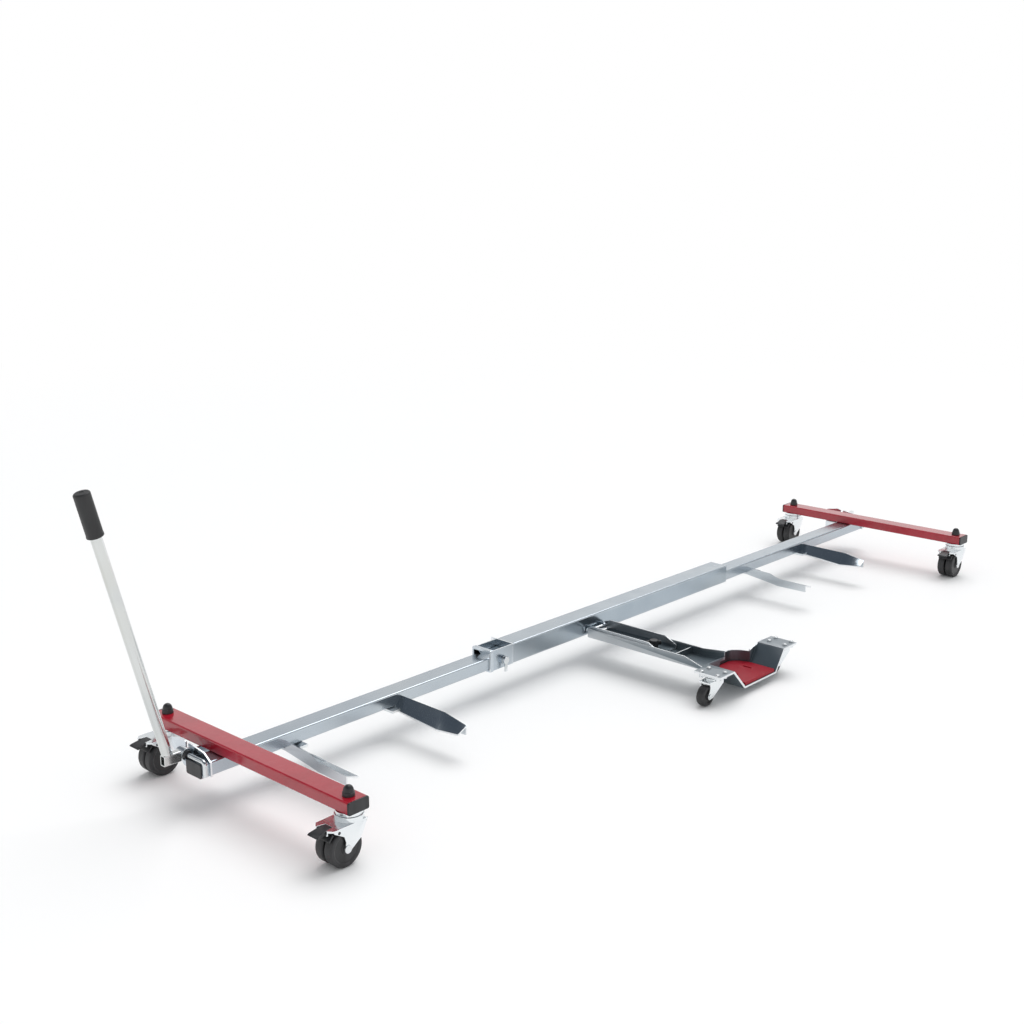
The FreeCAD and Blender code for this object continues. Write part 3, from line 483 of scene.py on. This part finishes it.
# Painted highlight: near-white zinc on the narrow cut rims of sheets, standing for the bright rim light along
# them
RIM_HIGHLIGHT = ZincPlating("zinc_painted_rim_highlight", bright=(0.88, 0.90, 0.91), cloudy=(0.80, 0.83, 0.85),
                       roughness=0.3, metallic=0.8)
PRESSED = ZincPlating("zinc_on_pressed_steel", bright=(0.86, 0.89, 0.90), cloudy=(0.78, 0.82, 0.845),
                      roughness=0.2)
HARDWARE = ZincPlating("zinc_on_fasteners", bright=(0.76, 0.78, 0.79), cloudy=(0.66, 0.69, 0.71),
                       warmth=0.2, roughness=0.19)
ENAMEL = RedPaint()
CAP_BLACK = Moulding("black_cap_plastic", roughness=0.36)
TREAD_BLACK = Moulding("wheel_tread", body=(0.018, 0.018, 0.019), roughness=0.5, grain=900.0, dusting=0.28)
HUB_BLACK = Moulding("wheel_hub", body=(0.014, 0.014, 0.015), roughness=0.33, dusting=0.1)
GRIP_BLACK = Moulding("grip_rubber", body=(0.02, 0.02, 0.021), rubbed=(0.06, 0.06, 0.062), roughness=0.46,
                      grain=700.0, grain_depth=0.2 * MM)
PAD_RED = Moulding("red_pad_rubber", body=(0.32, 0.002, 0.015), rubbed=(0.42, 0.012, 0.03),
                   dust=(0.5, 0.30, 0.29), roughness=0.44, grain=800.0, grain_depth=0.2 * MM, gloss=0.25)
PAPER = FloorPaper()
Finish = ZincPlating | RedPaint | Moulding | FloorPaper


class Workshop:
    """Makes the pieces that stand for nodes, gives them finishes and lets them ride on the nodes' bodies."""

    smooth_angle = math.radians(38.0)
    sharp_angle = math.radians(40.0)
    flat_angle = math.radians(0.4)
    merge_distance = 0.002 * MM
    rim_width = 5.4 * MM
    rim_share = 0.6
    plain_steps = 2
    moulded_steps = 3

    def __init__(self, frame: dict[str, Any]) -> None:
        """Read the nodes, bodies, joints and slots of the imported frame.
        """
        self.nodes: dict[str, bpy.types.Object] = frame["nodes"]
        record = frame["record"]
        groups = record["behaviour"]["bodies"]
        self.body_of = {node: body for body, members in groups.items() for node in members}
        self.slot_of = {row["node"]: row["material_slot"] for row in record["subparts"]}
        self.joint_at = {joint["name"]: Vector(joint.get("pos_m") or (0, 0, 0)) for joint in frame["joints"]}
        self.made: dict[Finish, bpy.types.Material] = {}

    def material(self, finish: Finish) -> bpy.types.Material:
        """The material of a finish, made once.

        Args:
            finish: The finish.

        Returns:
            Its material.
        """
        if finish not in self.made:
            self.made[finish] = finish.material()
        return self.made[finish]

    def place(self, bm: bmesh.types.BMesh, node: str, finishes: Sequence[Finish]) -> None:
        """Turn a bmesh into the finished piece that stands for a node.

        Args:
            bm: The shape in the row frame; it is freed.
            node: Node that the piece replaces and whose body it takes.
            finishes: Finishes by the material number of the faces.
        """
        name = f"{node}_finished"
        body = self.body_of[node]
        mesh = bpy.data.meshes.new(name)
        bm.to_mesh(mesh)
        bm.free()
        spare = mesh.attributes.get("custom_normal")
        if spare is not None:
            mesh.attributes.remove(spare)
        for finish in finishes:
            mesh.materials.append(self.material(finish))
        mesh.polygons.foreach_set("use_smooth", [True] * len(mesh.polygons))
        mesh.set_sharp_from_angle(angle=self.smooth_angle)
        piece = bpy.data.objects.new(name, mesh)
        bpy.context.scene.collection.objects.link(piece)
        weighted = piece.modifiers.new("even_shading", "WEIGHTED_NORMAL")
        weighted.keep_sharp = True
        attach(piece, body)
        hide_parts(node)
        LOG.info("%s: %d faces on %s", name, len(mesh.polygons), body)

    def merged(self, node: str) -> bmesh.types.BMesh:
        """A merged copy of a node's mesh with its flat faces joined.

        Args:
            node: Name of the node.

        Returns:
            The copy.
        """
        bm = bmesh.new()
        bm.from_mesh(self.nodes[node].data)
        for face in bm.faces:
            face.material_index = 0
        bmesh.ops.remove_doubles(bm, verts=bm.verts, dist=self.merge_distance)
        bmesh.ops.dissolve_limit(bm, angle_limit=self.flat_angle, verts=bm.verts, edges=bm.edges)
        return bm

    def rounded(self, bm: bmesh.types.BMesh, edge: float, steps: int) -> bmesh.types.BMesh:
        """Round the sharp edges of a shape.

        Args:
            bm: The shape.
            edge: Width of the rounding in metres.
            steps: Faces across the rounding.

        Returns:
            The same bmesh.
        """
        sharp = [e for e in bm.edges if len(e.link_faces) == 2 and e.calc_face_angle(0.0) > self.sharp_angle]
        bmesh.ops.bevel(bm, geom=sharp, offset=edge, offset_type="OFFSET", segments=steps, profile=0.5,
                        affect="EDGES", clamp_overlap=False, material=-1)
        return bm

    def rims(self, bm: bmesh.types.BMesh) -> list[bmesh.types.BMFace]:
        """The narrow cut edges of a bent sheet.

        Args:
            bm: The shape of the sheet.

        Returns:
            Faces no wider than a sheet is thick, with sharp edges along most of their outline.
        """
        found = []
        for face in bm.faces:
            around = face.calc_perimeter()
            sharp = sum(e.calc_length() for e in face.edges if e.calc_face_angle(0.0) > self.sharp_angle)
            width = 2.0 * face.calc_area() / around
            if width < self.rim_width and sharp / around > self.rim_share:
                found.append(face)
        return found

    def sheet(self, node: str, finish: Finish, edge: float) -> None:
        """Replace a bent sheet by a copy with rounded edges and a painted highlight on its cut edges.

        Args:
            node: Name of the node.
            finish: Finish of its faces.
            edge: Width of the rounding in metres.
        """
        bm = self.merged(node)
        # The cut rims get the painted rim highlight finish.
        finishes = [finish, RIM_HIGHLIGHT]
        for face in self.rims(bm):
            face.material_index = finishes.index(RIM_HIGHLIGHT)
        self.place(self.rounded(bm, edge, self.plain_steps), node, finishes)

    def soften(self, node: str, finish: Finish, edge: float) -> None:
        """Replace a node by a copy with rounded edges."""
        self.place(self.rounded(self.merged(node), edge, self.plain_steps), node, [finish])

    def mould(self, node: str, finish: Finish, edge: float) -> None:
        """Replace a moulded node by a copy with finely rounded edges."""
        self.place(self.rounded(self.merged(node), edge, self.moulded_steps), node, [finish])


def in_metres(points: Pairs) -> Section:
    """Section points from (radius, height) pairs in millimetres."""
    return [(radius * MM, height * MM) for radius, height in points]


def below(face: float, points: Pairs) -> Section:
    """Section points from (radius, depth below a face) pairs in millimetres."""
    return [(radius * MM, face - depth * MM) for radius, depth in points]


def both_sides(side: Section) -> Section:
    """The closed section of a wheel, from one side of it."""
    return side + [(radius, -height) for radius, height in reversed(side)]


def arc(centre: tuple[float, float], radius: float, start: float, end: float, count: int) -> Section:
    """Section points on an arc.

    Args:
        centre: Radius and height of the arc's centre.
        radius: Radius of the arc.
        start: First angle in radians.
        end: Last angle in radians.
        count: Number of points.

    Returns:
        The points.
    """
    angles = [start + (end - start) * number / (count - 1) for number in range(count)]
    return [(centre[0] + radius * math.cos(angle), centre[1] + radius * math.sin(angle)) for angle in angles]


def turned(bm: bmesh.types.BMesh, profile: Section, matrix: Matrix, steps: int, material: int = 0) -> None:
    """Turn a closed profile about the local Z axis.

    Args:
        bm: Where the shape goes.
        profile: (radius, height) points of the closed section.
        matrix: Places the local Z axis in the row frame.
        steps: Faces around.
        material: Material number of the faces.
    """
    seam = 0.001 * MM
    shape = bmesh.new()
    verts = [shape.verts.new((radius, 0.0, height)) for radius, height in profile]
    edges = [shape.edges.new((a, b)) for a, b in zip(verts, verts[1:] + verts[:1])]
    bmesh.ops.spin(shape, geom=verts + edges, cent=(0, 0, 0), axis=(0, 0, 1), angle=math.tau, steps=steps,
                   use_merge=True, use_duplicate=False)
    bmesh.ops.remove_doubles(shape, verts=shape.verts, dist=seam)
    wires = [e for e in shape.edges if not e.link_faces]
    bmesh.ops.delete(shape, geom=wires, context="EDGES")
    bmesh.ops.recalc_face_normals(shape, faces=shape.faces)
    add_shape(bm, shape, matrix, material)


def add_shape(bm: bmesh.types.BMesh, shape: bmesh.types.BMesh, matrix: Matrix, material: int) -> None:
    """Put one bmesh into another.

    Args:
        bm: Where the shape goes.
        shape: The shape; it is freed.
        matrix: Where it is placed.
        material: Material number of its faces.
    """
    bmesh.ops.transform(shape, matrix=matrix, verts=shape.verts)
    for face in shape.faces:
        face.material_index = material
    mesh = bpy.data.meshes.new("shape")
    shape.to_mesh(mesh)
    shape.free()
    bm.from_mesh(mesh)
    bpy.data.meshes.remove(mesh)


def facing(direction: Sequence[float], centre: Sequence[float]) -> Matrix:
    """A matrix whose local Z axis points along a direction from a centre."""
    turn = Vector(direction).normalized().to_track_quat("Z", "X").to_matrix().to_4x4()
    return Matrix.Translation(Vector(centre)) @ turn


@dataclass
class MainCaster:
    """One braked twin-wheel swivel caster under a beam; sections are (radius, depth below the side) in mm."""

    shop: Workshop
    end: End
    side: Side
    wheel_radius: float = 37.5 * MM
    wheel_width: float = 21.0 * MM
    wheel_offset: float = 12.5 * MM
    shoulder: float = 4.0 * MM
    shoulder_points: int = 7
    hub_side: Pairs = ((6.05, 0.4), (10.2, 0.4), (11.0, 0.9), (11.6, 1.8), (27.0, 1.8), (28.0, 0.9),
                       (29.4, 0.7))
    tread_foot: Pairs = ((29.2, 0.8), (29.8, 0.1))
    hub_steps: int = 48
    tread_steps: int = 72
    fork_edge: float = 0.5 * MM
    axle_edge: float = 0.6 * MM
    pedal_edge: float = 0.8 * MM

    def build(self) -> None:
        """Build the wheels, fork, axle and pedal."""
        name = f"{self.end.value}_{self.side.value}"
        self.wheels(name)
        self.shop.soften(f"{name}_fork", PRESSED, self.fork_edge)
        self.shop.soften(f"{name}_axle", HARDWARE, self.axle_edge)
        self.shop.mould(f"{name}_brake_pedal", CAP_BLACK, self.pedal_edge)

    def wheels(self, name: str) -> None:
        """Turn the two wheels with shallow dished hubs and rounded treads.

        Args:
            name: Name of the caster.
        """
        bm = bmesh.new()
        half = self.wheel_width / 2
        edge = self.shoulder
        corner = arc((self.wheel_radius - edge, half - edge), edge, QUARTER_TURN, 0.0, self.shoulder_points)
        hub = both_sides(below(half, self.hub_side))
        tread = both_sides(below(half, self.tread_foot) + corner)
        finishes = [TREAD_BLACK, HUB_BLACK]
        centre = self.shop.joint_at[f"{name}_wheel_roll"]
        for way in (-1, 1):
            matrix = facing((0, way, 0), centre + Vector((0, way * self.wheel_offset, 0)))
            turned(bm, hub, matrix, self.hub_steps, finishes.index(HUB_BLACK))
            turned(bm, tread, matrix, self.tread_steps, finishes.index(TREAD_BLACK))
        self.shop.place(bm, f"{name}_wheels", finishes)


@dataclass
class CrossBeam:
    """A red cross beam with its caps, caster stems and lift lug; the dome's section is in mm."""

    shop: Workshop
    end: End
    dome_radius: float = 12.0 * MM
    dome_inside: Pairs = ((0.0, 15.0), (10.0, 11.0), (10.4, 0.0))
    dome_skirt: Pairs = ((11.4, 0.0), (12.0, 0.7), (11.8, 6.6), (11.3, 7.7), (10.3, 8.0))
    crown_points: int = 9
    crown_fullness: float = 0.8
    dome_steps: int = 40
    beam_edge: float = 0.5 * MM
    cap_edge: float = 1.2 * MM
    stem_edge: float = 0.6 * MM
    lug_edge: float = 0.5 * MM

    def build(self) -> None:
        """Dress the beam and what is fixed on it."""
        end = self.end.value
        self.shop.soften(f"{end}_beam", ENAMEL, self.beam_edge)
        self.shop.mould(f"{end}_beam_end_caps", CAP_BLACK, self.cap_edge)
        self.shop.soften(f"{end}_stems_and_nuts", PRESSED, self.stem_edge)
        self.shop.soften(f"{end}_lift_lug", BRACKET_SHEET, self.lug_edge)
        self.domes(f"{end}_dome_caps")

    def domes(self, node: str) -> None:
        """Turn the two dome caps over the caster nuts.

        Args:
            node: Name of the caps' node.
        """
        low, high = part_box(node)
        height = high.z - low.z
        profile = in_metres(self.dome_inside + self.dome_skirt)
        crown, skirt = profile[-1]
        for number in range(1, self.crown_points):
            angle = QUARTER_TURN * number / self.crown_points
            radius = crown * math.cos(angle) ** self.crown_fullness
            profile.append((radius, skirt + (height - skirt) * math.sin(angle)))
        profile.append((0.0, height))
        bm = bmesh.new()
        for y in (low.y + self.dome_radius, high.y - self.dome_radius):
            turned(bm, profile, Matrix.Translation(((low.x + high.x) / 2, y, low.z)), self.dome_steps)
        self.shop.place(bm, node, [CAP_BLACK])


@dataclass
class LiftUnit:
    """Bracket, pivot rod and crank at one end of the rail."""

    shop: Workshop
    end: End
    bracket_edge: float = 0.5 * MM
    rod_edge: float = 0.5 * MM
    crank_edge: float = 0.6 * MM
    washer_edge: float = 0.5 * MM

    def build(self) -> None:
        """Dress the unit."""
        end = self.end.value
        self.shop.sheet(f"{end}_bracket", BRACKET_SHEET, self.bracket_edge)
        self.shop.soften(f"{end}_pivot_rod", HARDWARE, self.rod_edge)
        self.shop.soften(f"{end}_crank", PRESSED, self.crank_edge)
        if self.end is End.FRONT:
            self.shop.soften("lever_washer", CAP_BLACK, self.washer_edge)


@dataclass
class LeverArm:
    """The lift lever with its socket and grip; the grip's sections are in mm."""

    shop: Workshop
    tilt: float = math.radians(14.15)
    lever_edge: float = 0.4 * MM
    grip_length: float = 88.0 * MM
    grip_mouth: Pairs = ((11.05, 0.6), (11.65, 0.0), (15.3, 0.0), (16.2, 0.4), (16.5, 1.4), (16.5, 4.2),
                         (16.0, 5.2))
    grip_neck: Pairs = ((16.0, 6.5),)
    corner_from_axis: float = 12.0 * MM
    corner: float = 4.0 * MM
    corner_points: int = 6
    grip_end: Pairs = ((5.2, 0.0), (4.6, 0.8), (0.0, 0.8), (0.0, 9.0), (11.05, 9.0))
    grip_steps: int = 56

    def build(self) -> None:
        """Dress the lever and mould its grip."""
        self.shop.soften("lever", TUBE_LEVER, self.lever_edge)
        self.grip("lever_grip")

    def grip(self, node: str) -> None:
        """Turn the pushed-on grip with its rolled mouth, rounded end and shallow dimple.

        Args:
            node: Name of the grip's node.
        """
        low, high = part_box(node)
        top = self.grip_length
        centre = (self.corner_from_axis, top - self.corner)
        corner = arc(centre, self.corner, 0.0, QUARTER_TURN, self.corner_points)
        profile = in_metres(self.grip_mouth) + below(top, self.grip_neck) + corner + below(top, self.grip_end)
        axis = Vector((math.sin(self.tilt), 0.0, math.cos(self.tilt)))
        bm = bmesh.new()
        turned(bm, profile, facing(axis, (low + high) / 2 - axis * (top / 2)), self.grip_steps)
        self.shop.place(bm, node, [GRIP_BLACK])


@dataclass
class RailTrain:
    """The telescoping rail: front and rear rails, the sleeve between them and the clamped collar."""

    shop: Workshop
    rail_edge: float = 0.4 * MM
    cap_edge: float = 0.9 * MM
    collar_edge: float = 0.5 * MM
    screw_edge: float = 0.6 * MM

    def build(self) -> None:
        """Dress the rails."""
        for node in ("front_rail", "rear_rail", "centre_rail"):
            self.shop.soften(node, TUBE_X_PAINTED_SHADE, self.rail_edge)
        for node in ("front_rail_cap", "rear_rail_cap"):
            self.shop.mould(node, CAP_BLACK, self.cap_edge)
        self.shop.sheet("rail_collar", BRACKET_SHEET, self.collar_edge)
        self.shop.soften("clamp_screw", HARDWARE, self.screw_edge)


@dataclass
class ChockSet:
    """The four chocks and their bolts."""

    shop: Workshop
    chock_edge: float = 0.7 * MM
    bolt_edge: float = 0.6 * MM

    def build(self) -> None:
        """Dress the chocks."""
        for end in End:
            for place in ChockPlace:
                self.shop.sheet(f"{end.value}_{place.value}_chock", CHOCK_SHEET_PAINTED_SHADE, self.chock_edge)
            self.shop.soften(f"{end.value}_chock_bolts", HARDWARE, self.bolt_edge)


@dataclass
class SideArm:
    """The hinged side arm with its clamp bolt and wing knob."""

    shop: Workshop
    arm_edge: float = 0.5 * MM
    pin_edge: float = 0.5 * MM
    bolt_edge: float = 0.5 * MM
    knob_edge: float = 1.6 * MM

    def build(self) -> None:
        """Dress the arm."""
        self.shop.sheet("side_arm", TRAY_SHEET_PAINTED_SHADE, self.arm_edge)
        self.shop.soften("arm_hinge_pin", HARDWARE, self.pin_edge)
        self.shop.soften("clamp_bolt", HARDWARE, self.bolt_edge)
        self.shop.mould("wing_knob", CAP_BLACK, self.knob_edge)


@dataclass
class StandTray:
    """The side plate with its dropped tray, pad and bolts."""

    shop: Workshop
    plate_edge: float = 0.6 * MM
    pad_edge: float = 1.4 * MM
    bolt_edge: float = 0.5 * MM
    caster_plate_edge: float = 0.5 * MM

    def build(self) -> None:
        """Dress the tray."""
        self.shop.sheet("side_plate", TRAY_SHEET_PAINTED_SHADE, self.plate_edge)
        self.shop.mould("tray_pad", PAD_RED, self.pad_edge)
        self.shop.soften("wing_bolts", HARDWARE, self.bolt_edge)
        self.shop.soften("small_caster_plates", PRESSED, self.caster_plate_edge)


@dataclass
class SmallCaster:
    """A single-wheel caster under a wing of the side plate; its section is (radius, depth) in mm."""

    shop: Workshop
    end: End
    half_width: float = 11.0 * MM
    wheel_side: Pairs = ((4.05, 0.0), (8.0, 0.0), (8.8, 0.8), (9.4, 3.0), (16.0, 3.0), (17.0, 0.6),
                         (21.0, 0.4), (23.2, 1.6), (24.5, 3.6), (25.0, 6.5))
    wheel_steps: int = 48
    fork_edge: float = 0.4 * MM

    def build(self) -> None:
        """Dress the fork and turn the wheel."""
        name = f"small_{self.end.value}"
        self.shop.soften(f"{name}_fork", PRESSED, self.fork_edge)
        matrix = facing((0, 1, 0), self.shop.joint_at[f"{name}_wheel_roll"])
        bm = bmesh.new()
        turned(bm, both_sides(below(self.half_width, self.wheel_side)), matrix, self.wheel_steps)
        self.shop.place(bm, f"{name}_wheel", [TREAD_BLACK])


@dataclass
class Studio:
    """Floor, light and camera; each flag is its direction on the floor and its strength."""

    shop: Workshop
    camera_place: Point = (2.619261, 2.017726, 1.223179)
    right: Point = (-0.67805, 0.73501, -0.00168)
    forward: Point = (-0.71263, -0.65797, -0.24338)
    lens: float = 48.1
    sensor: float = 36.0
    reach: float = 200.0
    floor_size: float = 60.0
    wall: Colour = (0.97, 0.97, 0.97)
    ceiling: Colour = (0.10, 0.12, 0.15)
    wall_to_ceiling: Band = (0.30, 0.65)
    flag: Colour = (0.10, 0.11, 0.12)
    flags: tuple[Point, ...] = ((-0.966, 0.259, 0.85), (0.19, -0.98, 0.35))
    flag_edge: Band = (0.88, 0.97)
    flag_top: Band = (0.25, 0.55)
    sky: Colour = (0.98, 0.99, 1.0)
    sky_light: float = 0.62
    sun_light: float = 1.55
    sun_angle: float = math.radians(50.0)
    sun_from: Point = (-0.55, -0.15, 1.0)

    def build(self) -> None:
        """Build the stage."""
        self.floor()
        self.world()
        self.sun()
        self.camera()

    def floor(self) -> None:
        """Lay the paper floor."""
        mesh = bpy.data.meshes.new("studio_floor")
        bm = bmesh.new()
        bmesh.ops.create_grid(bm, x_segments=1, y_segments=1, size=self.floor_size / 2)
        bm.to_mesh(mesh)
        bm.free()
        mesh.materials.append(self.shop.material(PAPER))
        floor = bpy.data.objects.new("studio_floor", mesh)
        bpy.context.scene.collection.objects.link(floor)

    def world(self) -> None:
        """A soft white surround with a darker ceiling and two dark flags in reflections."""
        world = bpy.data.worlds.new("studio_surround")
        bpy.context.scene.world = world
        world.use_nodes = True
        g = Graph(world.node_tree)
        direction = g.node("ShaderNodeTexCoord")
        height = g.node("ShaderNodeSeparateXYZ", None, {0: direction}, "Z")
        dome = g.mix(g.step(height, self.wall_to_ceiling), self.wall, self.ceiling)
        low_down = 1.0 - g.step(height, self.flag_top)
        for x, y, strength in self.flags:
            towards = g.node("ShaderNodeVectorMath", {"operation": "DOT_PRODUCT"},
                             {0: direction, 1: (x, y, 0.0)}, "Value")
            dome = g.mix(g.step(towards, self.flag_edge) * low_down * strength, dome, self.flag)
        seen, mirrored, through = (g.node("ShaderNodeLightPath", output=f"Is {ray} Ray")
                                   for ray in ("Camera", "Glossy", "Transmission"))
        shown = g.mix(seen, dome, WHITE)
        lit = g.node("ShaderNodeBackground", None, {"Color": (*self.sky, 1.0), "Strength": self.sky_light})
        view = g.node("ShaderNodeBackground", None, {"Color": shown, "Strength": 1.0})
        pick = g.node("ShaderNodeMixShader", None, {0: seen + mirrored + through, 1: lit, 2: view})
        g.node("ShaderNodeOutputWorld", None, {"Surface": pick})

    def sun(self) -> None:
        """One broad lamp from behind and above."""
        lamp = bpy.data.lights.new("broad_lamp", "SUN")
        lamp.energy = self.sun_light
        lamp.angle = self.sun_angle
        made = bpy.data.objects.new("broad_lamp", lamp)
        made.rotation_mode = "QUATERNION"
        made.rotation_quaternion = Vector(self.sun_from).to_track_quat("Z", "Y")
        bpy.context.scene.collection.objects.link(made)

    def camera(self) -> None:
        """The camera at the photograph's place."""
        data = bpy.data.cameras.new("photo_camera")
        data.lens = self.lens
        data.sensor_width = self.sensor
        data.clip_end = self.reach
        right = Vector(self.right).normalized()
        back = -Vector(self.forward).normalized()
        up = back.cross(right).normalized()
        right = up.cross(back)
        matrix = Matrix((right, up, back)).transposed().to_4x4()
        matrix.translation = Vector(self.camera_place)
        made = bpy.data.objects.new("photo_camera", data)
        made.matrix_world = matrix
        bpy.context.scene.collection.objects.link(made)
        bpy.context.scene.camera = made


def main() -> None:
    """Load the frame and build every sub-assembly in order."""
    logging.basicConfig(level=logging.INFO, format="%(message)s")
    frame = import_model()
    bpy.context.scene.view_settings.view_transform = "Standard"
    shop = Workshop(frame)
    for end in End:
        CrossBeam(shop, end).build()
        LiftUnit(shop, end).build()
        for side in Side:
            MainCaster(shop, end, side).build()
        SmallCaster(shop, end).build()
    for assembly in (LeverArm, RailTrain, ChockSet, SideArm, StandTray, Studio):
        assembly(shop).build()


if __name__ == "__main__":
    main()
